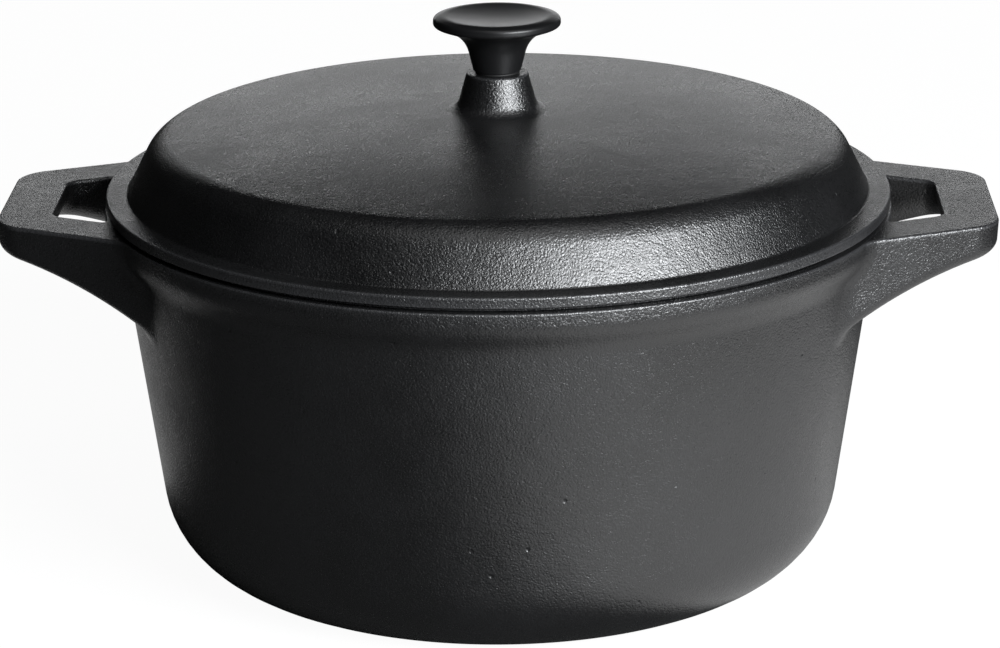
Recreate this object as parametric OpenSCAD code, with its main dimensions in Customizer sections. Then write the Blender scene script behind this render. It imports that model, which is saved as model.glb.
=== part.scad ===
// Round cast iron dutch oven with two loop handles, a domed lid and a screwed-on knob.
// Millimetres, +Z up, origin at the centre of the base, +X along the handles.

/* [Pot] */
// Height of the pot rim above the table
rim_h = 138; // [110:1:170]
// Outer radius of the pot wall where it reaches the rim
wall_top_r = 141.8; // [136:0.2:143]
// Lean of the wall from vertical, in degrees
wall_lean = 7.9; // [3:0.1:12]
// Radius of the round corner between wall and base
base_corner_r = 34.3; // [20:0.1:40]
// Thickness of the wall and the base
wall_t = 4.4; // [4:0.1:6]
// Outer radius of the thickened band at the rim
band_r = 145.5; // [145.2:0.1:148]
// Height of the band's straight face
band_h = 8.5; // [5:0.5:14]

/* [Handles] */
// Distance from the axis to the handle tip
tip_x = 183; // [178:0.5:190]
// Half width of the handle at its tip, before the corners are rounded
tip_half_w = 35.5; // [30:0.5:40]
// Splay of each side of the handle, in degrees
side_splay = 24; // [15:1:30]
// Radius of the two tip corners
tip_corner_r = 9; // [5:0.5:12]
// Thickness of the handle at its tip
tip_t = 12.3; // [9:0.1:16]
// Width of the iron all round the finger hole
grip_w = 19.5; // [15:0.5:22]
// Corner radius of the finger hole
hole_corner_r = 4; // [2:0.5:6]
// Radius of the hollow curve under the handle
under_r = 150; // [120:5:400]

/* [Lid] */
// Outer radius of the lid's flat flange
flange_r = 145; // [143:0.5:145]
// Thickness of the flange at its edge
flange_t = 4; // [3:0.5:6]
// Gap between the flange edge and the pot rim
edge_gap = 1.7; // [1:0.1:2.5]
// Radius where the dome meets the flange
dome_r = 137; // [130:0.5:139]
// Height of the dome's crown above the flange
crown_h = 29; // [18:0.2:34]
// Radius of curvature of the crown
crown_curve_r = 860; // [600:10:2000]
// Radius of the round shoulder between crown and side
shoulder_r = 13; // [8:0.5:18]
// Lean of the dome's side from vertical, in degrees
side_lean = 27; // [15:1:40]
// Thickness of the lid
lid_t = 4.4; // [4:0.1:6]
// Depth of the locating skirt inside the pot
skirt_h = 5; // [3:0.5:8]
// Clearance between skirt and pot wall
skirt_gap = 1; // [0.6:0.1:2]

/* [Boss] */
// Radius of the boss at its top
boss_top_r = 11.3; // [10:0.1:14]
// Radius of the boss above its fillet
boss_low_r = 14; // [13:0.1:18]
// Height of the boss above the crown
boss_h = 13.5; // [11:0.1:20]
// Radius of the fillet at the foot of the boss
boss_fillet_r = 5; // [4:0.5:8]
// Radius of the recess under the boss
recess_r = 8.5; // [8:0.5:9.5]
// Thickness of iron left above the recess
boss_roof_t = 8; // [6:0.5:10]

/* [Knob] */
// Height of the knob
knob_h = 20.8; // [18:0.1:28]
// Radius of the knob at its foot
knob_foot_r = 8.8; // [8.5:0.1:11]
// Radius of the stem under the flare
knob_neck_r = 10.5; // [10:0.1:12.5]
// Outer radius of the knob's disc
knob_r = 23.6; // [20:0.1:26]
// Radius of the flare between stem and disc
knob_flare_r = 7; // [5:0.1:8]
// Radius of the raised ring around the dished top
knob_crest_r = 20; // [15:0.5:21]
// Depth of the dish in the top
dish_depth = 1.4; // [0.6:0.1:2]

/* [Fastening] */
// Thickness of the sealing washer under the knob
gasket_t = 0.8; // [0.5:0.1:2]
// Radius of the screw's threaded shank
shank_r = 3; // [2.5:0.5:3]
// Length of the screw under its head
shank_l = 20; // [18:1:22]
// Radius of the screw head
head_r = 6; // [5:0.1:6.5]
// Height of the screw head
head_h = 3.6; // [2.5:0.1:4]
// Thickness of the flat washer
washer_t = 1.6; // [1:0.1:2]
// Thickness of the spring washer
spring_t = 1.6; // [1:0.1:2]
// Outer radius of the threaded insert
insert_r = 5; // [4.5:0.1:6]
// Length of the threaded insert
insert_l = 11; // [9:0.5:12]

/* [Hidden] */
$fn = 128;
far = 400;                     // larger than the whole object
seam = 0.5;                    // how far joined shapes run into each other
seat_gap = 0.25;               // lid seat above the rim
turn_gap = 0.05;               // running clearance between turning pieces
hole_gap = 0.3;                // clearance of a plain hole round the shank

// Pot: the corner circle touches the base plane and the leaning wall
corner_x = wall_top_r - (rim_h - base_corner_r * (1 - sin(wall_lean))) * tan(wall_lean)
    - base_corner_r * cos(wall_lean);
mouth_r = wall_top_r - wall_t / cos(wall_lean);
band_fade = 4;                 // height over which the band runs into the wall

// Handles: the underside is an arc from the tip to the root, which lies inside the pot wall
hole_tip_x = tip_x - grip_w;
root_x = 120;
root_depth = 38.6;
under_a = [tip_x - 5, rim_h - tip_t];
under_b = [root_x, rim_h - root_depth];
under_len = norm(under_a - under_b);
under_dir = (under_a - under_b) / under_len;
under_sag = sqrt(under_r * under_r - under_len * under_len / 4);
under_c = (under_a + under_b) / 2 + under_sag * [under_dir[1], -under_dir[0]];

// Lid levels
seat_z = rim_h + seat_gap;
flange_low_z = rim_h + edge_gap;
flange_z = flange_low_z + flange_t;
crown_z = flange_z + crown_h;
skirt_r = mouth_r - skirt_gap;
skirt_in_r = skirt_r - lid_t;
rebate_r = flange_r - 3;

// Boss, screw and knob levels, from the boss top
boss_z = crown_z + boss_h;
roof_z = boss_z - boss_roof_t;
washer_z = roof_z - washer_t;
spring_z = washer_z - spring_t;
head_z = spring_z - turn_gap;
gasket_z = boss_z + gasket_t;
foot_z = gasket_z + turn_gap;
knob_top_z = foot_z + knob_h;
disc_z = knob_top_z - 2.4;     // widest level of the disc
disc_low_z = disc_z - 2.6;     // where the flare meets the underside of the disc
neck_z = disc_low_z - knob_flare_r;
bore_top_z = foot_z + 13;      // blind end of the hole in the knob

// Half width of the handle at distance x from the axis, less the border w
function arm_half(x, w = 0) = tip_half_w + (tip_x - x) * tan(side_splay) - w / cos(side_splay);

// Outline of one half of a solid of revolution with a straight side and a round corner
module bowl_half(corner, corner_r, lean, top_r, top_z) {
    touch = corner + corner_r * [cos(lean), -sin(lean)];
    low_z = corner[1] - corner_r;
    polygon([[0, low_z], [corner[0], low_z], corner, touch, [top_r, top_z], [0, top_z]]);
    translate(corner) circle(r = corner_r);
}

// Points of an arc about c, from angle a to angle b
function arc(c, r, a, b, steps = 8) =
    [for (i = [0:steps]) c + r * [cos(a + (b - a) * i / steps), sin(a + (b - a) * i / steps)]];

// Handle plan: a splayed tip with two round corners, set in from the outer edge by w
module handle_plan(end_x, w, corner_r) {
    corner = [end_x - corner_r, arm_half(end_x, w) - corner_r * tan((90 - side_splay) / 2)];
    root = [root_x, arm_half(root_x, w)];
    upper = concat(arc(corner, corner_r, 0, 90 - side_splay), [root]);
    polygon(concat(upper, [for (i = [len(upper) - 1:-1:0]) [upper[i][0], -upper[i][1]]]));
}

// One loop handle, with an open root that the pot wall closes
module handle() {
    difference() {
        intersection() {
            translate([0, 0, under_b[1] - seam])
                linear_extrude(rim_h - under_b[1] + seam) handle_plan(tip_x, 0, tip_corner_r);
            rotate([90, 0, 0]) linear_extrude(far, center = true) difference() {
                translate([root_x - seam, under_b[1] - 2 * seam]) square([far, far]);
                translate(under_c) circle(r = under_r, $fn = 720);
            }
        }
        translate([0, 0, under_b[1] - 2 * seam])
            linear_extrude(rim_h) handle_plan(hole_tip_x, grip_w, hole_corner_r);
    }
}

module pot() {
    color("dimgray") difference() {
        union() {
            rotate_extrude() {
                bowl_half([corner_x, base_corner_r], base_corner_r, wall_lean, wall_top_r, rim_h);
                polygon([
                    [mouth_r, rim_h], [mouth_r, rim_h - band_h - band_fade],
                    [wall_top_r - (band_h + band_fade) * tan(wall_lean), rim_h - band_h - band_fade],
                    [band_r, rim_h - band_h], [band_r, rim_h - 1], [band_r - 1, rim_h]
                ]);
            }
            for (turn = [0, 180]) rotate([0, 0, turn]) handle();
        }
        rotate_extrude()
            bowl_half([corner_x, base_corner_r], base_corner_r - wall_t, wall_lean,
                mouth_r + seam * tan(wall_lean), rim_h + seam);
    }
}

// Half outline of the dome, drawn inwards by the thickness t and closed below at low_z
module dome_half(t, low_z) {
    normal = [cos(side_lean), sin(side_lean)];
    foot = [dome_r - t / cos(side_lean), flange_z];
    crown_c = [0, crown_z - crown_curve_r];
    reach = normal * foot - (shoulder_r - t) - normal * crown_c;
    turn = side_lean + acos(reach / (crown_curve_r - shoulder_r));
    shoulder_c = crown_c + (crown_curve_r - shoulder_r) * [cos(turn), sin(turn)];
    crown_end = shoulder_c + (shoulder_r - t) * [cos(turn), sin(turn)];
    side_end = shoulder_c + (shoulder_r - t) * normal;
    low_r = foot[0] + (flange_z - low_z) * tan(side_lean);
    polygon([[0, low_z], [low_r, low_z], side_end, shoulder_c, [0, shoulder_c[1]]]);
    translate(shoulder_c) circle(r = shoulder_r - t);
    intersection() {
        translate([0, low_z]) square([crown_end[0], far]);
        translate(crown_c) circle(r = crown_curve_r - t, $fn = 1440);
    }
}

// Half outline of the boss with its fillet onto the crown
module boss_half() {
    fillet_z = crown_z + boss_fillet_r - 1;
    polygon([
        [0, crown_z - 2], [boss_low_r, crown_z - 2], [boss_low_r, fillet_z],
        [boss_top_r, boss_z], [0, boss_z]
    ]);
    difference() {
        translate([0, crown_z - 2]) square([boss_low_r + boss_fillet_r, boss_fillet_r + 1]);
        translate([boss_low_r + boss_fillet_r, fillet_z]) circle(r = boss_fillet_r);
    }
}

module lid() {
    color("gray") rotate_extrude() difference() {
        union() {
            dome_half(0, flange_z - seam);
            boss_half();
            polygon([
                [0, flange_z - seam], [0, seat_z - skirt_h], [skirt_r - 0.5, seat_z - skirt_h],
                [skirt_r, seat_z], [rebate_r, seat_z], [rebate_r + 0.5, flange_low_z],
                [flange_r - 0.5, flange_low_z],
                [flange_r, flange_low_z + 0.5], [flange_r, flange_z - 0.5], [flange_r - 0.5, flange_z],
                [dome_r - 1, flange_z]
            ]);
        }
        intersection() {
            dome_half(lid_t, seat_z - skirt_h - seam);
            square([skirt_in_r, far]);
        }
        square([recess_r, roof_z]);
        square([shank_r + hole_gap, far]);
    }
}

module knob() {
    dish_r = (knob_crest_r * knob_crest_r + dish_depth * dish_depth) / (2 * dish_depth);
    color("#2b2d2f") rotate_extrude() difference() {
        union() {
            polygon([
                [0, foot_z], [knob_foot_r, foot_z], [knob_neck_r, neck_z], [knob_neck_r, disc_low_z],
                [knob_neck_r + knob_flare_r, disc_low_z], [knob_r - 0.6, disc_z - 1.2], [knob_r, disc_z],
                [knob_r - 0.6, disc_z + 1.2], [knob_crest_r + 1.5, knob_top_z - 0.3],
                [knob_crest_r, knob_top_z], [0, knob_top_z]
            ]);
            difference() {
                translate([knob_neck_r, neck_z]) square(knob_flare_r);
                translate([knob_neck_r + knob_flare_r, neck_z]) circle(r = knob_flare_r);
            }
        }
        translate([0, knob_top_z - dish_depth + dish_r]) circle(r = dish_r, $fn = 720);
        translate([0, foot_z - seam]) square([insert_r, insert_l + seam]);
        translate([0, foot_z]) square([shank_r + hole_gap, bore_top_z - foot_z]);
    }
}

// Flat ring between two levels
module ring(in_r, out_r, low_z, t) {
    translate([0, 0, low_z]) difference() {
        cylinder(r = out_r, h = t);
        translate([0, 0, -seam]) cylinder(r = in_r, h = t + 2 * seam);
    }
}

module knob_insert() {
    color("goldenrod") ring(shank_r + turn_gap, insert_r, foot_z, insert_l);
}

module knob_gasket() {
    color("black") ring(shank_r + hole_gap, knob_foot_r - 0.6, boss_z, gasket_t);
}

module flat_washer() {
    color("silver") ring(shank_r + hole_gap, head_r + 1.5, washer_z, washer_t);
}

// Split ring with a slanted gap
module spring_washer() {
    color("silver") difference() {
        ring(shank_r + hole_gap, head_r - 0.5, spring_z, spring_t);
        translate([head_r / 2, 0, spring_z + spring_t / 2])
            rotate([30, 0, 0]) cube([head_r, 0.8, 4 * spring_t], center = true);
    }
}

// Pan head screw that points upwards, with a cross recess in its head
module knob_screw() {
    round_r = 2;
    tip_chamfer = 0.6;
    low_z = head_z - head_h;
    color("silver") difference() {
        union() {
            rotate_extrude() {
                polygon([
                    [0, low_z], [head_r - round_r, low_z], [head_r - round_r, low_z + round_r],
                    [head_r, low_z + round_r], [head_r, head_z], [0, head_z]
                ]);
                intersection() {
                    translate([head_r - round_r, low_z + round_r]) circle(r = round_r);
                    translate([0, low_z]) square([head_r, round_r]);
                }
            }
            translate([0, 0, head_z - seam]) cylinder(r = shank_r, h = shank_l + seam - tip_chamfer);
            translate([0, 0, head_z + shank_l - tip_chamfer])
                cylinder(r1 = shank_r, r2 = shank_r - tip_chamfer, h = tip_chamfer);
        }
        for (turn = [0, 90])
            translate([0, 0, low_z]) rotate([0, 0, turn]) cube([6.4, 1.2, 3.6], center = true);
    }
}

pot();
lid();
knob();
knob_insert();
knob_gasket();
knob_screw();
spring_washer();
flat_washer();
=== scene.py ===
# Cast iron dutch oven: bowl with loop handles, domed lid, screwed-on knob.
import math

import bpy
import numpy as np
from mathutils import Matrix, Vector


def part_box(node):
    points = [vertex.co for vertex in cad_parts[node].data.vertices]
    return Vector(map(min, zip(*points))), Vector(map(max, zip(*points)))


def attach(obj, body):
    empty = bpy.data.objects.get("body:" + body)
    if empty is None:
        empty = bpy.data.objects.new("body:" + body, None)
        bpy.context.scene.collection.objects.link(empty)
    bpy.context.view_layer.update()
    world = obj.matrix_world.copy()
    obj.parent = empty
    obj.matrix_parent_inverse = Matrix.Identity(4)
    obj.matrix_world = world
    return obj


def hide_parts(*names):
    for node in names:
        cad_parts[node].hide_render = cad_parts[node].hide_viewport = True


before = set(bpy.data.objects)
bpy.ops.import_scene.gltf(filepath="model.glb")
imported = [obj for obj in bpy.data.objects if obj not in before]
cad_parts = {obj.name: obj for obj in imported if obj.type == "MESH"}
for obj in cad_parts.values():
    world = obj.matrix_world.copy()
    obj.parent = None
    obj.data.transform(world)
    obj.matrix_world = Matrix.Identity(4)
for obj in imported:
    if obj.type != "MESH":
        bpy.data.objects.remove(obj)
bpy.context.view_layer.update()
print("frame loaded:", ", ".join(sorted(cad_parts)))

mm = 0.001                      # shapes below are worked out in millimetres


def boxMm(node):
    low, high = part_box(node)
    return low / mm, high / mm


def newMesh(name, points, faces):
    mesh = bpy.data.meshes.new(name)
    mesh.from_pydata((np.asarray(points, float) * mm).tolist(), [], faces)
    mesh.validate()
    mesh.shade_smooth()
    piece = bpy.data.objects.new(name, mesh)
    bpy.context.scene.collection.objects.link(piece)
    return piece


def roundOff(corners, bend=12):
    # Gives each corner (r, z, radius) of an outline an arc, with a holding point on each side
    soft = []
    for i, (r, z, radius) in enumerate(corners):
        here = np.array((r, z), float)
        if radius == 0:
            soft.append(here)
            continue
        back = np.array(corners[i - 1][:2], float) - here
        ahead = np.array(corners[(i + 1) % len(corners)][:2], float) - here
        backLen, aheadLen = np.linalg.norm(back), np.linalg.norm(ahead)
        back, ahead = back / backLen, ahead / aheadLen
        turn = math.pi - math.acos(np.clip(back @ ahead, -1, 1))
        reach = radius * math.tan(turn / 2)
        middle = back + ahead
        centre = here + middle / np.linalg.norm(middle) * radius / math.cos(turn / 2)
        start, end = here + back * reach - centre, here + ahead * reach - centre
        steps = max(3, math.ceil(math.degrees(turn) / bend))
        hold = radius * math.radians(bend) * 0.8
        if reach + hold < backLen * 0.9:
            soft.append(here + back * (reach + hold))
        for k in range(steps + 1):
            a = turn * k / steps
            soft.append(centre + (math.sin(turn - a) * start + math.sin(a) * end) / math.sin(turn))
        if reach + hold < aheadLen * 0.9:
            soft.append(here + ahead * (reach + hold))
    return soft


def fillIn(outline, longest, closed):
    # Adds points so that no stretch is longer than the limit
    full = []
    ends = outline[1:] + ([outline[0]] if closed else [])
    for a, b in zip(outline, ends):
        parts = max(1, math.ceil(np.linalg.norm(b - a) / longest))
        full += [a + (b - a) * k / parts for k in range(parts)]
    if not closed:
        full.append(outline[-1])
    return full


def spin(name, corners, sides=320, longest=4.0, bend=12):
    # Turns an outline about the pot's axis; an outline that starts and ends on the axis closes at poles
    outline = roundOff(corners, bend)
    closed = outline[0][0] > 1e-6
    outline = fillIn(outline, longest, closed)
    points, rings = [], []
    for r, z in outline:
        if r < 1e-6:
            rings.append([len(points)] * sides)
            points.append((0, 0, z))
            continue
        rings.append(list(range(len(points), len(points) + sides)))
        for k in range(sides):
            a = 2 * math.pi * k / sides
            points.append((r * math.cos(a), r * math.sin(a), z))
    faces = []
    pairs = list(zip(rings, rings[1:])) + ([(rings[-1], rings[0])] if closed else [])
    for low, high in pairs:
        for k in range(sides):
            n = (k + 1) % sides
            face = list(dict.fromkeys((low[k], low[n], high[n], high[k])))
            if len(face) > 2:
                faces.append(face)
    piece = newMesh(name, points, faces)
    pointOutwards(piece.data)
    return piece


def pointOutwards(mesh):
    # A closed shell has a positive volume when its faces point outwards
    co = np.array([v.co for v in mesh.vertices])
    mesh.calc_loop_triangles()
    tri = co[np.array([t.vertices for t in mesh.loop_triangles])]
    if np.einsum("ij,ij->i", tri[:, 0], np.cross(tri[:, 1], tri[:, 2])).sum() < 0:
        mesh.flip_normals()


def bake(piece):
    # Applies a piece's modifiers to its mesh
    graph = bpy.context.evaluated_depsgraph_get()
    mesh = bpy.data.meshes.new_from_object(piece.evaluated_get(graph))
    piece.modifiers.clear()
    piece.data = mesh
    mesh.shade_smooth()


def markEdges(piece, softest=8.0, sharpest=1.6):
    # Stores how tightly the surface bends outwards, from 0 on flats to 1 on edges, as attribute "edge"
    mesh = piece.data
    count = len(mesh.vertices)
    co, normal = np.empty(count * 3), np.empty(count * 3)
    mesh.vertices.foreach_get("co", co)
    mesh.vertices.foreach_get("normal", normal)
    co, normal = co.reshape(-1, 3) / mm, normal.reshape(-1, 3)
    ends = np.empty(len(mesh.edges) * 2, int)
    mesh.edges.foreach_get("vertices", ends)
    a, b = ends.reshape(-1, 2).T
    along = co[b] - co[a]
    length = np.maximum(np.linalg.norm(along, axis=1), 0.05)
    bend = np.einsum("ij,ij->i", normal[b] - normal[a], along) / length ** 2
    total, weight = np.zeros(count), np.zeros(count)
    for end in (a, b):
        np.maximum.at(total, end, bend)
    mask = np.clip((total - 1 / softest) / (1 / sharpest - 1 / softest), 0, 1)
    spread = np.zeros(count)
    for one, other in ((a, b), (b, a)):
        np.add.at(spread, one, mask[other])
        np.add.at(weight, one, 1)
    mask = 0.5 * mask + 0.5 * spread / np.maximum(weight, 1)
    mesh.attributes.new("edge", "FLOAT", "POINT").data.foreach_set("value", mask)


potHigh = boxMm("pot")[1]
potShape = {
    "wallTopR": 141.8,          # outside of the wall at rim height
    "lean": 7.9,                # degrees from vertical
    "baseCornerR": 34.3,
    "wall": 4.4,
    "bandHeight": 8.5,          # straight face of the rim band
    "bandFade": 4.0,            # where it runs out into the wall
    "bandEdgeR": 3.5,
    "rimEdgeR": 0.7,
    "coreDepth": 0.6,           # how far into the wall a handle's root reaches, as a part of its thickness
}
handleShape = {
    "tipHalf": 35.5,            # half width at the tip
    "splay": 24.0,              # degrees, both sides
    "tipCornerR": 9.0,
    "tipThick": 12.3,
    "grip": 19.5,               # width of the iron round the finger hole
    "holeCornerR": 4.0,
    "rootX": 120.0,             # root of the arms, inside the wall, and their depth there
    "rootDepth": 38.6,
    "underR": 150.0,            # hollow curve of the underside
    "edgeR": 0.9,
    "underEdgeR": 3.5,
    "gripUnderR": 11.5,         # rounding under the finger hole's edge, for the fingers
    "rootR": 3.2,               # fillet onto the wall
    "draft": 3.0,               # degrees of taper, for lifting out of the sand
    "sink": 0.03,               # how far the handle's root lies under the wall's skin
    "cell": 1.0,                # mesh size, with finer rows near the top edge
    "topCell": 0.45,
    "boundHalf": 80,            # limits that the handle is worked out within
    "boundDeep": 54,
    "margin": 4,                # how far the grid reaches past those limits
}
rimZ, bandR, tipX = potHigh.z, potHigh.y, potHigh.x
leanSlope = math.tan(math.radians(potShape["lean"]))
leanCos = math.cos(math.radians(potShape["lean"]))


def wallR(z):
    return potShape["wallTopR"] - (rimZ - z) * leanSlope


def roundMax(a, b, radius):
    # Overlap of two solids given by their distances, with a rounded edge
    corner = np.hypot(np.maximum(a + radius, 0), np.maximum(b + radius, 0))
    return np.minimum(-radius, np.maximum(a, b)) + corner


def filletMin(a, b, radius):
    # Union of two solids, with a fillet between them
    return -roundMax(-a, -b, radius)


def wallField(r, z):
    p = potShape
    bandLow = rimZ - p["bandHeight"]
    fadeLow = bandLow - p["bandFade"]
    along = np.array((bandR - wallR(fadeLow), p["bandFade"]))
    along /= np.linalg.norm(along)
    under = (r - wallR(fadeLow)) * along[1] - (z - fadeLow) * along[0]
    band = roundMax(r - bandR, under, p["bandEdgeR"])
    return filletMin((r - wallR(z)) * leanCos, band, p["bandEdgeR"])


def handleField(x, y, z):
    h = handleShape
    splay = math.radians(h["splay"])
    draft = (rimZ - z) * math.tan(math.radians(h["draft"]))
    side = (np.abs(y) - h["tipHalf"] - (tipX - x) * math.tan(splay)) * math.cos(splay)
    outer = roundMax(side + draft, x - tipX + draft, h["tipCornerR"])
    hole = roundMax(side + h["grip"] - draft, x - tipX + h["grip"] - draft, h["holeCornerR"])
    a = np.array((tipX - 5, rimZ - h["tipThick"]))
    b = np.array((h["rootX"], rimZ - h["rootDepth"]))
    chord = a - b
    half = np.linalg.norm(chord) / 2
    drop = math.sqrt(h["underR"] ** 2 - half ** 2)
    centre = (a + b) / 2 + drop * np.array((chord[1], -chord[0])) / (2 * half)
    under = h["underR"] - np.hypot(x - centre[0], z - centre[1])
    bar = roundMax(roundMax(outer, under, h["underEdgeR"]), -hole, h["gripUnderR"])
    r = np.hypot(x, y)
    whole = filletMin(bar, wallField(r, z) + h["sink"], h["rootR"])
    whole = roundMax(whole, z - rimZ + h["sink"], h["edgeR"])
    core = wallR(z) - potShape["wall"] * potShape["coreDepth"] - r
    limits = np.maximum(np.abs(y) - h["boundHalf"], rimZ - h["boundDeep"] - z)
    return np.maximum(whole, np.maximum(core, limits))


def netSurface(field, axes, cell):
    # Quad mesh of the surface where a distance field is zero, from its values on a grid
    inside = field(*np.meshgrid(*axes, indexing="ij")) < 0
    corners = sum(inside[i:i - 1 or None, j:j - 1 or None, k:k - 1 or None].astype(int)
                  for i in (0, 1) for j in (0, 1) for k in (0, 1))
    mixed = (corners > 0) & (corners < 8)
    index = np.full(mixed.shape, -1)
    index[mixed] = np.arange(mixed.sum())
    points = np.stack([(axes[n][i] + axes[n][i + 1]) / 2 for n, i in enumerate(np.nonzero(mixed))], 1)
    faces = []
    for axis in range(3):
        one = np.moveaxis(inside, axis, 0)
        cells = np.moveaxis(index, axis, 0)
        crossing = one[:-1, 1:-1, 1:-1] != one[1:, 1:-1, 1:-1]
        i, j, k = np.nonzero(crossing)
        quad = np.stack([cells[i, j, k], cells[i, j + 1, k],
                         cells[i, j + 1, k + 1], cells[i, j, k + 1]], 1)
        out = one[i, j + 1, k + 1] ^ (axis == 1)
        quad[~out] = quad[~out][:, ::-1]
        faces.append(quad)
    faces = np.concatenate(faces)
    for turn in range(10):
        if turn in (3, 5):                               # even out the mesh, then settle again
            total, weight = np.zeros_like(points), np.zeros(len(points))
            for n in range(4):
                np.add.at(total, faces[:, n], points[faces[:, n - 1]] + points[faces[:, (n + 1) % 4]])
                np.add.at(weight, faces[:, n], 2)
            points = 0.5 * points + 0.5 * total / weight[:, None]
        slope = np.stack([(field(*(points + d).T) - field(*(points - d).T)) / 0.02
                          for d in np.eye(3) * 0.01], 1)
        push = field(*points.T)[:, None] * slope / np.maximum((slope ** 2).sum(1), 0.2)[:, None]
        points -= np.clip(push, -cell / 2, cell / 2)
    return points, faces


def bandOutline():
    # Points (r, z) up the wall through the step of the rim band, where the field is zero
    line = []
    for z in np.linspace(rimZ - 22, rimZ - 4, 25):
        low, high = 100.0, 180.0
        for _ in range(40):
            middle = (low + high) / 2
            low, high = (middle, high) if wallField(middle, z) < 0 else (low, middle)
        line.append((low, z, 0))
    return line


def makePot():
    p = potShape
    inner = p["wall"] / leanCos
    bowl = spin("potCasting", [
        (0, 0, 0), (wallR(0), 0, p["baseCornerR"]), *bandOutline(),
        (bandR, rimZ, p["rimEdgeR"]), (wallR(rimZ) - inner, rimZ, p["rimEdgeR"]),
        (wallR(p["wall"]) - inner, p["wall"], p["baseCornerR"] - p["wall"]), (0, p["wall"], 0),
    ], bend=6)
    h = handleShape
    cell, topCell = h["cell"], h["topCell"]
    half, deep = h["boundHalf"] + h["margin"], h["boundDeep"] + h["margin"]
    levels = np.r_[np.arange(rimZ - deep, rimZ - 6, 1.4 * cell), np.arange(rimZ - 5, rimZ + 1, topCell)]
    axes = (np.arange(100, tipX + 2, cell), np.arange(-half, half + 1, cell), levels)
    points, faces = netSurface(handleField, axes, cell)
    for side in (1, -1):
        turned = points * (side, side, 1)
        handle = newMesh("handle", turned, faces.tolist())
        pointOutwards(handle.data)
        join = bowl.modifiers.new("union", "BOOLEAN")
        join.operation, join.solver, join.object = "UNION", "MANIFOLD", handle
        bake(bowl)
        bpy.data.objects.remove(handle)
    markEdges(bowl)
    return bowl


pot = makePot()
print("pot:", len(pot.data.polygons), "faces")

lidLow, lidHigh = boxMm("lid")
lidShape = {
    "edgeGap": 1.7,             # flange edge above the pot rim
    "flangeThick": 4.0,
    "domeR": 137.0,             # where the dome leaves the flange
    "crown": 29.0,              # height of the crown above the flange
    "crownCurveR": 860.0,
    "shoulderR": 13.0,
    "sideLean": 27.0,           # degrees from vertical
    "wall": 4.4,
    "seatGap": 0.25,
    "bossTopR": 11.3,
    "bossLowR": 14.8,
    "bossFilletR": 5.0,
    "rebate": 3.0,              # how far the seat stands in from the flange's edge
    "skirtGap": 1.0,            # clearance between skirt and pot wall
    "recessR": 8.5,
    "roofThick": 8.0,
    "boreR": 3.3,
}
flangeR, bossZ, skirtZ = lidHigh.x, lidHigh.z, lidLow.z
flangeLowZ = rimZ + lidShape["edgeGap"]
flangeZ = flangeLowZ + lidShape["flangeThick"]
crownZ = flangeZ + lidShape["crown"]
roofZ = bossZ - lidShape["roofThick"]


def crownHeight(r, inwards=0):
    s = lidShape
    return crownZ - s["crownCurveR"] + math.sqrt((s["crownCurveR"] - inwards) ** 2 - r * r)


def domeOutline(inwards, firstR, firstZ):
    # Crown, shoulder and side of the dome from radius firstR out and down to firstZ, set in by a thickness
    s = lidShape
    lean = math.radians(s["sideLean"])
    across = np.array((math.cos(lean), math.sin(lean)))
    foot = np.array((s["domeR"] - inwards / math.cos(lean), flangeZ))
    crownC = np.array((0, crownZ - s["crownCurveR"]))
    far = s["crownCurveR"] - s["shoulderR"]
    turn = lean + math.acos((across @ (foot - crownC) - (s["shoulderR"] - inwards)) / far)
    centre = crownC + far * np.array((math.cos(turn), math.sin(turn)))
    endR = centre[0] + (s["shoulderR"] - inwards) * math.cos(turn)
    line = [(r, crownHeight(r, inwards), 0) for r in np.linspace(firstR, endR, 26)]
    for a in np.linspace(turn, lean, 14)[1:]:
        corner = centre + (s["shoulderR"] - inwards) * np.array((math.cos(a), math.sin(a)))
        line.append((*corner, 0))
    line.append((foot[0] + (flangeZ - firstZ) * math.tan(lean), firstZ, 0))
    return line


def makeLid():
    s = lidShape
    skirtR = wallR(rimZ) - potShape["wall"] / leanCos - s["skirtGap"]
    skirtInR = skirtR - s["wall"]
    seatZ = rimZ + s["seatGap"]
    outer = domeOutline(0, s["bossLowR"] + s["bossFilletR"] + 1, flangeZ)
    outer[-1] = (*outer[-1][:2], 1.2)
    lean = math.tan(math.radians(s["sideLean"]))
    insideR = s["domeR"] - s["wall"] / math.cos(math.radians(s["sideLean"]))
    skirtTopZ = flangeZ - (skirtInR - insideR) / lean
    inner = domeOutline(s["wall"], s["recessR"] + 3, skirtTopZ)[::-1]
    corners = [
        (s["boreR"], bossZ, 0.4), (s["bossTopR"], bossZ, 0.9),
        (s["bossLowR"] + 0.3, crownHeight(s["bossLowR"]), s["bossFilletR"]), *outer,
        (flangeR, flangeZ, 0.8), (flangeR, flangeLowZ, 0.6), (flangeR - s["rebate"] + 0.5, flangeLowZ, 0.8),
        (flangeR - s["rebate"], seatZ, 0.3), (skirtR, seatZ, 0.5),
        (skirtR - 0.5, skirtZ, 1.0), (skirtInR, skirtZ, 1.0), *inner,
        (s["recessR"], crownHeight(s["recessR"], s["wall"]), 1.2),
        (s["recessR"], roofZ, 0.8), (s["boreR"], roofZ, 0.3),
    ]
    lid = spin("lidCasting", corners, bend=10)
    markEdges(lid)
    return lid


lid = makeLid()
print("lid:", len(lid.data.polygons), "faces")

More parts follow.
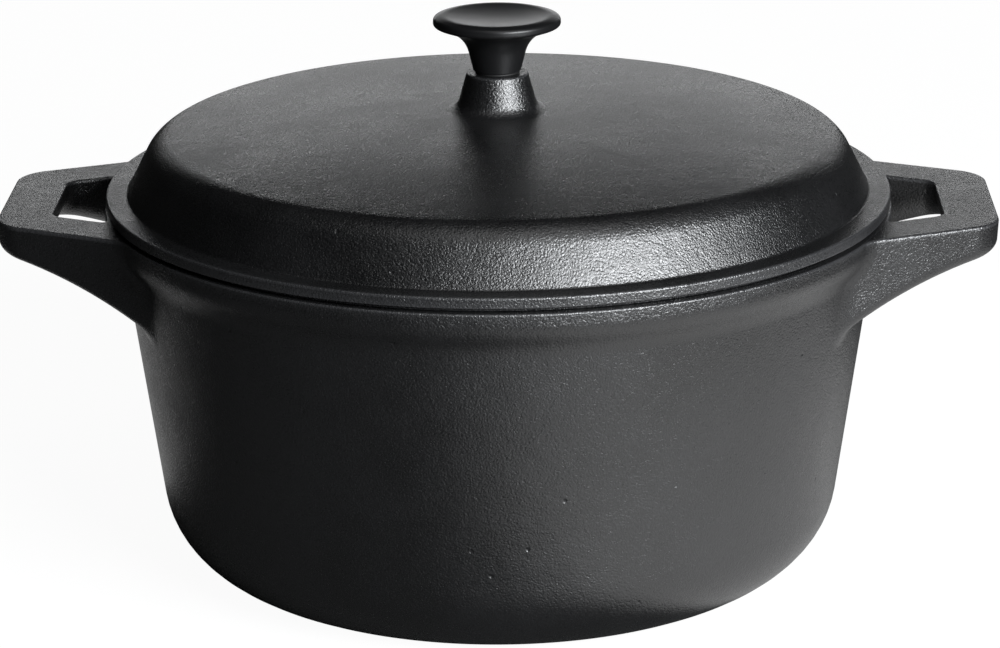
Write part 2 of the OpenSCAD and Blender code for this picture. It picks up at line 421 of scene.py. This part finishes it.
knobLow, knobHigh = boxMm("knob")
knobShape = {
    "footR": 8.8,
    "neckR": 12.0,              # where the lines of stem and disc cross, and how far under the top
    "neckDown": 7.9,
    "flareR": 11.5,
    "crestR": 20.0,
    "dish": 1.4,
    "boreR": 3.3,
    "insertR": 5.0,
    "insertLong": 11.0,
    "boreLong": 13.0,
    "crestRound": 6.0,
    "lipTop": 1.0,              # the lip's upper and lower corner, below the top, and their radii
    "lipTopR": 1.4,
    "lipLow": 3.7,
    "lipLowR": 1.1,
}


def makeKnob():
    k = knobShape
    footZ, topZ, rimR = knobLow.z, knobHigh.z, knobHigh.x
    dishR = (k["crestR"] ** 2 + k["dish"] ** 2) / (2 * k["dish"])
    dish = [(r, topZ - k["dish"] + dishR - math.sqrt(dishR ** 2 - r * r), 0)
            for r in np.linspace(k["crestR"] - 3, 0, 10)]
    corners = [
        *dish[::-1], (k["crestR"], topZ, k["crestRound"]),
        (rimR - 0.2, topZ - k["lipTop"], k["lipTopR"]), (rimR - 0.1, topZ - k["lipLow"], k["lipLowR"]),
        (k["neckR"], topZ - k["neckDown"], k["flareR"]),
        (k["footR"], footZ, 0.5), (k["insertR"], footZ, 0.2),
        (k["insertR"], footZ + k["insertLong"], 0.1), (k["boreR"], footZ + k["insertLong"], 0.1),
        (k["boreR"], footZ + k["boreLong"], 0.3),
        (0, footZ + k["boreLong"], 0),
    ]
    knob = spin("knobBody", corners, sides=160, longest=2.0, bend=8)
    markEdges(knob, 4.0, 1.0)
    return knob


knob = makeKnob()
print("knob:", len(knob.data.polygons), "faces")


def makeRing(name, node, holeR, edge):
    # A flat washer that fills its node's box
    low, high = boxMm(node)
    corners = [(holeR, low.z, edge), (high.x, low.z, edge), (high.x, high.z, edge), (holeR, high.z, edge)]
    return spin(name, corners, sides=96, longest=2.0, bend=22)


gasket = makeRing("sealingWasher", "knob_gasket", knobShape["boreR"], 0.25)
flatWasher = makeRing("flatWasher", "flat_washer", knobShape["boreR"], 0.2)

screwShape = {
    "shankR": 3.0,
    "headTall": 3.6,
    "pitch": 1.0,
    "threadDeep": 0.55,
    "sides": 48,
    "rowsPerTurn": 10,
    "threadStart": 1.5,         # length over which the thread deepens under the head
    "pointLong": 0.6,           # tapered end
    "pointIn": 0.4,             # how much thinner the end is
    "crossDeep": 1.9,           # depth of the cross recess
    "crossLow": (1.4, 0.45),    # half length and half width of the recess at its floor and its mouth
    "crossMouth": (3.3, 0.7),
}


def makeThread():
    # The shank: a grid round the axis whose radius follows a V thread
    s = screwShape
    low, high = boxMm("knob_screw")
    startZ, endZ = low.z + s["headTall"] - 0.3, high.z
    rows = round((endZ - startZ) / s["pitch"] * s["rowsPerTurn"])
    points, faces = [(0, 0, startZ)], []
    for i in range(rows + 1):
        z = startZ + (endZ - startZ) * i / rows
        deepening = min(1, (z - startZ) / s["threadStart"])
        runOut = min(deepening, (endZ - z) / s["pointLong"] + 0.1)
        for k in range(s["sides"]):
            phase = ((z - startZ) / s["pitch"] - k / s["sides"]) % 1
            groove = min(1, 1.25 * (1 - abs(2 * phase - 1))) * s["threadDeep"]
            r = s["shankR"] - groove * max(0, deepening)
            if z > startZ + 2:
                r -= (1 - max(0, runOut)) * s["pointIn"]
            a = 2 * math.pi * k / s["sides"]
            points.append((r * math.cos(a), r * math.sin(a), z))
    points.append((0, 0, endZ))
    n = s["sides"]
    for k in range(n):
        m = (k + 1) % n
        faces.append((0, 1 + m, 1 + k))
        for i in range(rows):
            a, b = 1 + i * n, 1 + (i + 1) * n
            faces.append((a + k, a + m, b + m, b + k))
        faces.append((1 + rows * n + k, 1 + rows * n + m, len(points) - 1))
    shank = newMesh("screwShank", points, faces)
    pointOutwards(shank.data)
    return shank


def makeHead():
    s = screwShape
    low, high = boxMm("knob_screw")
    headR, topZ = high.x, low.z + s["headTall"]
    head = spin("screwHead", [
        (0, low.z, 0), (headR - 1.5, low.z, 1.6), (headR, low.z + 2, 0.8),
        (headR, topZ, 0.15), (0, topZ, 0),
    ], sides=96, longest=1.0)
    for turn in (0, 90):
        points = []
        faces = [(0, 1, 2, 3), (7, 6, 5, 4), (0, 4, 5, 1), (1, 5, 6, 2), (2, 6, 7, 3), (3, 7, 4, 0)]
        for z, (half, wide) in ((low.z + s["crossDeep"], s["crossLow"]), (low.z - 0.5, s["crossMouth"])):
            points += [(-half, -wide, z), (half, -wide, z), (half, wide, z), (-half, wide, z)]
        cutter = newMesh("cross", points, faces)
        cutter.data.transform(Matrix.Rotation(math.radians(turn), 4, "Z"))
        pointOutwards(cutter.data)
        cut = head.modifiers.new("cross", "BOOLEAN")
        cut.operation, cut.solver, cut.object = "DIFFERENCE", "MANIFOLD", cutter
        bake(head)
        bpy.data.objects.remove(cutter)
    head.data.set_sharp_from_angle(angle=math.radians(40))
    return head


screwShank = makeThread()
screwHead = makeHead()


springShape = {
    "inR": 3.3,
    "thick": 0.62,              # part of the height that the wire takes up
    "rise": 0.5,
    "lift": 0.05,
    "gap": 9,                   # degrees
    "edge": 0.12,
    "steps": 72,
}


def makeSpringWasher():
    # A square wire bent into one turn of a shallow helix, with a gap
    s = springShape
    low, high = boxMm("spring_washer")
    inR, outR, thick, gap = s["inR"], high.x, (high.z - low.z) * s["thick"], math.radians(s["gap"])
    points, faces, steps = [], [], s["steps"]
    for i in range(steps + 1):
        a = gap / 2 + (2 * math.pi - gap) * i / steps
        z = low.z + s["lift"] + s["rise"] * i / steps
        for r, up in ((inR, 0), (outR, 0), (outR, thick), (inR, thick)):
            points.append((r * math.cos(a), r * math.sin(a), z + up))
    for i in range(steps):
        for k in range(4):
            m = (k + 1) % 4
            faces.append((4 * i + k, 4 * i + m, 4 * i + 4 + m, 4 * i + 4 + k))
    faces += [(3, 2, 1, 0), (4 * steps, 4 * steps + 1, 4 * steps + 2, 4 * steps + 3)]
    ring = newMesh("springWasher", points, faces)
    pointOutwards(ring.data)
    bevel = ring.modifiers.new("edges", "BEVEL")
    bevel.width, bevel.segments = s["edge"] * mm, 2
    bake(ring)
    return ring


springWasher = makeSpringWasher()
print("fastening pieces made")

ironLook = {
    "colour": (0.0045, 0.0046, 0.0050, 1),
    "worn": (0.075, 0.076, 0.080, 1),
    "mottle": (0.75, 1.3),      # slow change of the colour's strength
    "roughness": (0.27, 0.38),
    "speckle": 0.5,             # how far the roughness changes from grain to grain
    "ior": 1.9,                 # oiled and baked black skin
    "grain": 1550.0,            # grains per metre
    "grainDeep": 0.23 * mm,
    "wear": 0.3,
}


def newMaterial(name):
    material = bpy.data.materials.new(name)
    material.use_nodes = True
    tree = material.node_tree
    tree.nodes.clear()
    output = tree.nodes.new("ShaderNodeOutputMaterial")
    shader = tree.nodes.new("ShaderNodeBsdfPrincipled")
    tree.links.new(shader.outputs[0], output.inputs[0])
    return material, tree, shader


def feed(tree, socket, value):
    # A socket takes a link from another socket, or a plain value
    if isinstance(value, bpy.types.NodeSocket):
        tree.links.new(value, socket)
    else:
        socket.default_value = value


def addNode(tree, kind, settings=None, **inputs):
    node = tree.nodes.new(kind)
    for key, value in (settings or {}).items():
        setattr(node, key, value)
    for key, value in inputs.items():
        feed(tree, node.inputs[key], value)
    return node


def mathNode(tree, operation, *values, clamp=False):
    node = tree.nodes.new("ShaderNodeMath")
    node.operation = operation
    node.use_clamp = clamp
    for value, socket in zip(values, node.inputs):
        feed(tree, socket, value)
    return node.outputs[0]


skinShape = {
    "broad": 0.05,              # how coarse the slower patterns are, as parts of the grain's scale
    "cloud": 0.009,
    "lumps": 0.8,
    "spots": 0.1,
    "pitWide": 0.16,            # part of a spot's cell that its pit takes up
    "plain": 0.90,              # share of the spots that have no pit
    "lumpDeep": -0.5,           # heights of lumps, waves and pits beside the grain's
    "broadDeep": 1.5,
    "pitDeep": -1.6,
    "wearStart": 0.62,          # level of the grain at which an edge starts to show wear
    "wearGain": 1.6,
}


def makeCastSkin():
    # Skin left by the sand: a height for the bump, a slow mottle, a fine speckle and rubbed edges
    s = skinShape
    group = bpy.data.node_groups.new("castSkin", "ShaderNodeTree")
    inputs = (("Vector", "NodeSocketVector", None), ("Grain", "NodeSocketFloat", 900.0),
              ("Edge", "NodeSocketFloat", 0.0))
    for label, kind, value in inputs:
        socket = group.interface.new_socket(label, in_out="INPUT", socket_type=kind)
        if value is not None:
            socket.default_value = value
    for label in ("Height", "Mottle", "Speckle", "Wear"):
        group.interface.new_socket(label, in_out="OUTPUT", socket_type="NodeSocketFloat")
    start, end = group.nodes.new("NodeGroupInput"), group.nodes.new("NodeGroupOutput")
    vector, grain, edge = (start.outputs[label] for label in ("Vector", "Grain", "Edge"))

    def calc(operation, *values, clamp=False):
        return mathNode(group, operation, *values, clamp=clamp)

    def noise(scale, detail, roughness):
        return addNode(group, "ShaderNodeTexNoise", Vector=vector, Scale=calc("MULTIPLY", grain, scale),
                       Detail=detail, Roughness=roughness).outputs["Fac"]

    peel = noise(1.0, 2.5, 0.62)
    broad = noise(s["broad"], 3.0, 0.6)
    cloud = noise(s["cloud"], 5.0, 0.65)
    lumps = addNode(group, "ShaderNodeTexVoronoi", {"feature": "SMOOTH_F1"}, Vector=vector,
                    Scale=calc("MULTIPLY", grain, s["lumps"]), Smoothness=0.6)
    spots = addNode(group, "ShaderNodeTexVoronoi", Vector=vector,
                    Scale=calc("MULTIPLY", grain, s["spots"]))
    pit = calc("SUBTRACT", 1.0, calc("DIVIDE", spots.outputs["Distance"], s["pitWide"]), clamp=True)
    chance = addNode(group, "ShaderNodeSeparateColor", Color=spots.outputs["Color"]).outputs[0]
    pits = calc("MULTIPLY", pit, calc("GREATER_THAN", chance, s["plain"]))
    height = calc("MULTIPLY_ADD", lumps.outputs["Distance"], s["lumpDeep"], peel)
    height = calc("MULTIPLY_ADD", broad, s["broadDeep"], height)
    height = calc("MULTIPLY_ADD", pits, s["pitDeep"], height)
    rubbed = calc("ADD", edge, calc("SUBTRACT", peel, s["wearStart"]))
    wear = calc("MULTIPLY", rubbed, calc("MULTIPLY", edge, s["wearGain"]), clamp=True)
    results = {"Height": height, "Mottle": cloud, "Speckle": peel, "Wear": wear}
    for label, value in results.items():
        group.links.new(value, end.inputs[label])
    return group


castSkin = makeCastSkin()


def placeSkin(tree, grain):
    where = tree.nodes.new("ShaderNodeTexCoord").outputs["Object"]
    edge = addNode(tree, "ShaderNodeAttribute", {"attribute_name": "edge"}).outputs["Fac"]
    skin = tree.nodes.new("ShaderNodeGroup")
    skin.node_tree = castSkin
    tree.links.new(where, skin.inputs["Vector"])
    tree.links.new(edge, skin.inputs["Edge"])
    skin.inputs["Grain"].default_value = grain
    return skin


def spreadOut(tree, value, fromMin, fromMax, toMin, toMax):
    limits = (("From Min", fromMin), ("From Max", fromMax), ("To Min", toMin), ("To Max", toMax))
    node = addNode(tree, "ShaderNodeMapRange", Value=value)
    for key, limit in limits:
        node.inputs[key].default_value = limit
    return node.outputs[0]


def makeIron(name, look):
    material, tree, shader = newMaterial(name)
    skin = placeSkin(tree, look["grain"])
    tone = spreadOut(tree, skin.outputs["Mottle"], 0.35, 0.65, *look["mottle"])
    tint = addNode(tree, "ShaderNodeMix", {"data_type": "RGBA", "blend_type": "MULTIPLY"})
    tint.inputs[0].default_value = 1.0
    tint.inputs[6].default_value = look["colour"]
    tree.links.new(tone, tint.inputs[7])
    worn = addNode(tree, "ShaderNodeMix", {"data_type": "RGBA"})
    tree.links.new(mathNode(tree, "MULTIPLY", skin.outputs["Wear"], look["wear"]), worn.inputs[0])
    tree.links.new(tint.outputs[2], worn.inputs[6])
    worn.inputs[7].default_value = look["worn"]
    tree.links.new(worn.outputs[2], shader.inputs["Base Color"])
    rough = spreadOut(tree, skin.outputs["Mottle"], 0.3, 0.7, *look["roughness"])
    uneven = mathNode(tree, "MULTIPLY_ADD", skin.outputs["Speckle"], look["speckle"], -look["speckle"] / 2)
    tree.links.new(mathNode(tree, "ADD", rough, uneven), shader.inputs["Roughness"])
    shader.inputs["IOR"].default_value = look["ior"]
    bump = addNode(tree, "ShaderNodeBump", Height=skin.outputs["Height"], Strength=1.0,
                   Distance=look["grainDeep"])
    tree.links.new(bump.outputs[0], shader.inputs["Normal"])
    return material


def makePlain(name, colour, roughness, metallic, grain, deep):
    # Smooth finishes: a faint texture in the bump and the roughness
    material, tree, shader = newMaterial(name)
    skin = placeSkin(tree, grain)
    shader.inputs["Base Color"].default_value = colour
    shader.inputs["Metallic"].default_value = metallic
    rough = spreadOut(tree, skin.outputs["Mottle"], 0.3, 0.7, roughness - 0.04, roughness + 0.04)
    tree.links.new(rough, shader.inputs["Roughness"])
    bump = addNode(tree, "ShaderNodeBump", Height=skin.outputs["Height"], Strength=1.0, Distance=deep)
    tree.links.new(bump.outputs[0], shader.inputs["Normal"])
    return material


potIron = makeIron("potIron", ironLook)
lidIron = makeIron("lidIron", ironLook)
# Colour, roughness, metallic, grains per metre and their depth
plainLooks = {
    "knobPhenolic": ((0.007, 0.0071, 0.0076, 1), 0.36, 0.0, 2500.0, 0.008 * mm),
    "sealRubber": ((0.008, 0.008, 0.008, 1), 0.6, 0.0, 3000.0, 0.02 * mm),
    "fastenerSteel": ((0.62, 0.62, 0.63, 1), 0.26, 1.0, 6000.0, 0.004 * mm),
    "insertBrass": ((0.78, 0.58, 0.28, 1), 0.3, 1.0, 6000.0, 0.004 * mm),
}
phenolic, rubber, steel, brass = (makePlain(name, *look) for name, look in plainLooks.items())

nubShape = {
    "rings": 6,                 # each ring n holds 6n nubs
    "spacing": 17.5,
    "radius": 2.6,
    "height": 2.0,
}


def makeNubs():
    n = nubShape
    tree = bpy.data.node_groups.new("lidNubs", "GeometryNodeTree")
    values = {
        "Rings": n["rings"],
        "Spacing": n["spacing"] * mm,
        "Radius": n["radius"] * mm,
        "Height": n["height"] * mm,
        "Crown Z": crownHeight(0, lidShape["wall"]) * mm,
        "Crown Radius": (lidShape["crownCurveR"] - lidShape["wall"]) * mm,
    }
    sockets = {}
    for label, value in values.items():
        kind = "NodeSocketInt" if label == "Rings" else "NodeSocketFloat"
        socket = tree.interface.new_socket(label, in_out="INPUT", socket_type=kind)
        sockets[label] = (socket.identifier, value)
    tree.interface.new_socket("Material", in_out="INPUT", socket_type="NodeSocketMaterial")
    tree.interface.new_socket("Geometry", in_out="OUTPUT", socket_type="NodeSocketGeometry")
    start, end = tree.nodes.new("NodeGroupInput"), tree.nodes.new("NodeGroupOutput")

    def calc(operation, *values):
        return mathNode(tree, operation, *values)

    # Rings 1 to n hold 3n(n + 1) nubs in all, so a nub's ring is that sum solved for n and rounded up
    rings = start.outputs["Rings"]
    total = calc("MULTIPLY", calc("MULTIPLY", rings, 3.0), calc("ADD", rings, 1.0))
    index = tree.nodes.new("GeometryNodeInputIndex").outputs[0]
    root = calc("SQRT", calc("MULTIPLY_ADD", index, 12.0, 20.5))
    ring = calc("CEIL", calc("DIVIDE", calc("SUBTRACT", root, 3.0), 6.0))
    first = calc("MULTIPLY", calc("MULTIPLY", ring, 3.0), calc("SUBTRACT", ring, 1.0))
    part = calc("DIVIDE", calc("SUBTRACT", index, first), calc("MULTIPLY", ring, 6.0))
    angle = calc("MULTIPLY", part, 2 * math.pi)
    radius = calc("MULTIPLY", ring, start.outputs["Spacing"])
    curve = calc("MULTIPLY", start.outputs["Crown Radius"], 2.0)
    sag = calc("DIVIDE", calc("MULTIPLY", radius, radius), curve)
    place = addNode(tree, "ShaderNodeCombineXYZ", X=calc("MULTIPLY", radius, calc("COSINE", angle)),
                    Y=calc("MULTIPLY", radius, calc("SINE", angle)),
                    Z=calc("SUBTRACT", start.outputs["Crown Z"], sag))
    points = addNode(tree, "GeometryNodePoints", Count=total, Position=place.outputs[0])
    ball = addNode(tree, "GeometryNodeMeshUVSphere", Segments=16, Rings=10, Radius=1.0)
    size = addNode(tree, "ShaderNodeCombineXYZ", X=start.outputs["Radius"], Y=start.outputs["Radius"],
                   Z=start.outputs["Height"])
    spread = addNode(tree, "GeometryNodeInstanceOnPoints", Points=points.outputs[0],
                     Instance=ball.outputs["Mesh"], Scale=size.outputs[0])
    real = addNode(tree, "GeometryNodeRealizeInstances", Geometry=spread.outputs[0])
    paint = addNode(tree, "GeometryNodeSetMaterial", Geometry=real.outputs[0],
                    Material=start.outputs["Material"])
    tree.links.new(paint.outputs[0], end.inputs[0])
    piece = newMesh("lidNubs", [(0, 0, 0)], [])
    grow = piece.modifiers.new("nubs", "NODES")
    grow.node_group = tree
    for identifier, value in sockets.values():
        grow[identifier] = value
    materialId = next(i.identifier for i in tree.interface.items_tree if i.name == "Material")
    grow[materialId] = lidIron
    bake(piece)
    return piece


nubs = makeNubs()
markEdges(nubs)

# Piece, the body it moves with, its material, the colour slot and the plain solid it stands for
finishes = (
    (pot, "pot", potIron, "pot_iron", ("pot",)),
    (lid, "lid", lidIron, "lid_iron", ("lid",)),
    (nubs, "lid", lidIron, "lid_iron", ()),
    (knob, "knob", phenolic, "knob_phenolic", ("knob",)),
    (gasket, "lid", rubber, "gasket", ("knob_gasket",)),
    (flatWasher, "lid", steel, "fastener_steel", ("flat_washer",)),
    (springWasher, "lid", steel, "fastener_steel", ("spring_washer",)),
    (screwShank, "screw", steel, "fastener_steel", ("knob_screw",)),
    (screwHead, "screw", steel, "fastener_steel", ()),
)
for piece, body, material, slot, nodes in finishes:
    piece.data.materials.clear()
    piece.data.materials.append(material)
    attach(piece, body)
    if nodes:
        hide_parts(*nodes)
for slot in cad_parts["knob_insert"].material_slots:
    slot.material = brass
print("finishes set on", len(finishes), "pieces")

studio = {
    "floor": 0.08,
    "sky": 0.01,
    "cameraFloor": 0.9,         # the camera itself sees a paler floor and a bright backdrop
    "cameraGlow": 1.06,
    "shadow": 0.10,             # how much of the floor's own shading shows
}


def makeFloor():
    mesh = bpy.data.meshes.new("floor")
    far = 12.0
    mesh.from_pydata([(-far, -far, 0), (far, -far, 0), (far, far, 0), (-far, far, 0)], [], [(0, 1, 2, 3)])
    floor = bpy.data.objects.new("floor", mesh)
    bpy.context.scene.collection.objects.link(floor)
    material = bpy.data.materials.new("paleFloor")
    material.use_nodes = True
    tree = material.node_tree
    tree.nodes.clear()
    seen = tree.nodes.new("ShaderNodeLightPath").outputs["Is Camera Ray"]
    tone = mathNode(tree, "MULTIPLY_ADD", seen, studio["cameraFloor"] - studio["floor"], studio["floor"])
    matte = addNode(tree, "ShaderNodeBsdfDiffuse", Color=tone)
    glow = addNode(tree, "ShaderNodeEmission", Color=(1, 1, 1, 1), Strength=studio["cameraGlow"])
    both = tree.nodes.new("ShaderNodeMixShader")
    tree.links.new(mathNode(tree, "MULTIPLY", seen, 1 - studio["shadow"]), both.inputs[0])
    tree.links.new(matte.outputs[0], both.inputs[1])
    tree.links.new(glow.outputs[0], both.inputs[2])
    out = tree.nodes.new("ShaderNodeOutputMaterial")
    tree.links.new(both.outputs[0], out.inputs[0])
    mesh.materials.append(material)


def makeSky():
    world = bpy.data.worlds.new("sky")
    bpy.context.scene.world = world
    world.use_nodes = True
    tree = world.node_tree
    tree.nodes.clear()
    seen = tree.nodes.new("ShaderNodeLightPath").outputs["Is Camera Ray"]
    level = mathNode(tree, "MULTIPLY_ADD", seen, studio["cameraGlow"] - studio["sky"], studio["sky"])
    shade = addNode(tree, "ShaderNodeBackground", Color=(1, 1, 1, 1), Strength=level)
    out = tree.nodes.new("ShaderNodeOutputWorld")
    tree.links.new(shade.outputs[0], out.inputs[0])


def addPanel(name, size, power, colour=(1, 1, 1)):
    light = bpy.data.lights.new(name, "AREA")
    light.shape, light.size, light.size_y = "RECTANGLE", *size
    light.energy, light.color = power, colour
    lamp = bpy.data.objects.new(name, light)
    lamp.visible_camera = False
    bpy.context.scene.collection.objects.link(lamp)
    return lamp


def addSoftbox(name, azimuth, elevation, distance, size, power, colour):
    lamp = addPanel(name, size, power, colour)
    a, e = math.radians(azimuth), math.radians(elevation)
    offset = Vector((math.cos(e) * math.sin(a), -math.cos(e) * math.cos(a), math.sin(e))) * distance
    lamp.location = Vector(lightAim) + offset
    lamp.rotation_euler = (-offset).to_track_quat("-Z", "Y").to_euler()


def addCard(name, azimuth, distance, size, power):
    lamp = addPanel(name, size, power)
    a = math.radians(azimuth)
    lamp.matrix_world = (Matrix.Translation((distance * math.sin(a), -distance * math.cos(a), 0.002))
                         @ Matrix.Rotation(a - math.pi / 2, 4, "Z") @ Matrix.Rotation(math.pi, 4, "X"))


# Name, azimuth from the camera to its right and elevation in degrees, distance, size, watts, colour
softboxes = (
    ("keyBox", 40, 20, 1.7, (1.1, 0.7), 54, (0.95, 0.975, 1.0)),
    ("backBox", 178, 10, 1.8, (1.4, 0.32), 3.1, (0.98, 0.99, 1.0)),
    ("topBox", 20, 66, 1.6, (1.2, 1.0), 4.0, (1.0, 1.0, 1.0)),
)
# Bounce cards lying on the floor: name, azimuth, distance, size along and across that direction, watts
cards = (
    ("rightCard", 61, 0.27, (0.32, 0.50), 0.34),
    ("leftCard", -128, 0.27, (0.24, 0.20), 0.07),
)
lightAim = (0, 0, 0.1)

view = {
    "distance": 1.4005, "height": 0.5313, "across": 0.0003,     # metres
    "down": 17.53, "round": 1.47, "roll": -0.435,               # degrees
    "lens": 140.9,                                              # on a 36 mm wide frame
}


def makeCamera():
    camera = bpy.data.cameras.new("camera")
    camera.lens, camera.sensor_width = view["lens"], 36.0
    camera.clip_start, camera.clip_end = 0.05, 60
    seat = bpy.data.objects.new("camera", camera)
    bpy.context.scene.collection.objects.link(seat)
    seat.matrix_world = (
        Matrix.Rotation(math.radians(view["round"]), 4, "Z")
        @ Matrix.Translation((view["across"], -view["distance"], view["height"]))
        @ Matrix.Rotation(math.radians(90 - view["down"]), 4, "X")
        @ Matrix.Rotation(math.radians(view["roll"]), 4, "Z"))
    bpy.context.scene.camera = seat


makeFloor()
makeSky()
for setting in softboxes:
    addSoftbox(*setting)
for setting in cards:
    addCard(*setting)
makeCamera()
bpy.context.scene.view_settings.view_transform = "Standard"
print("studio set")
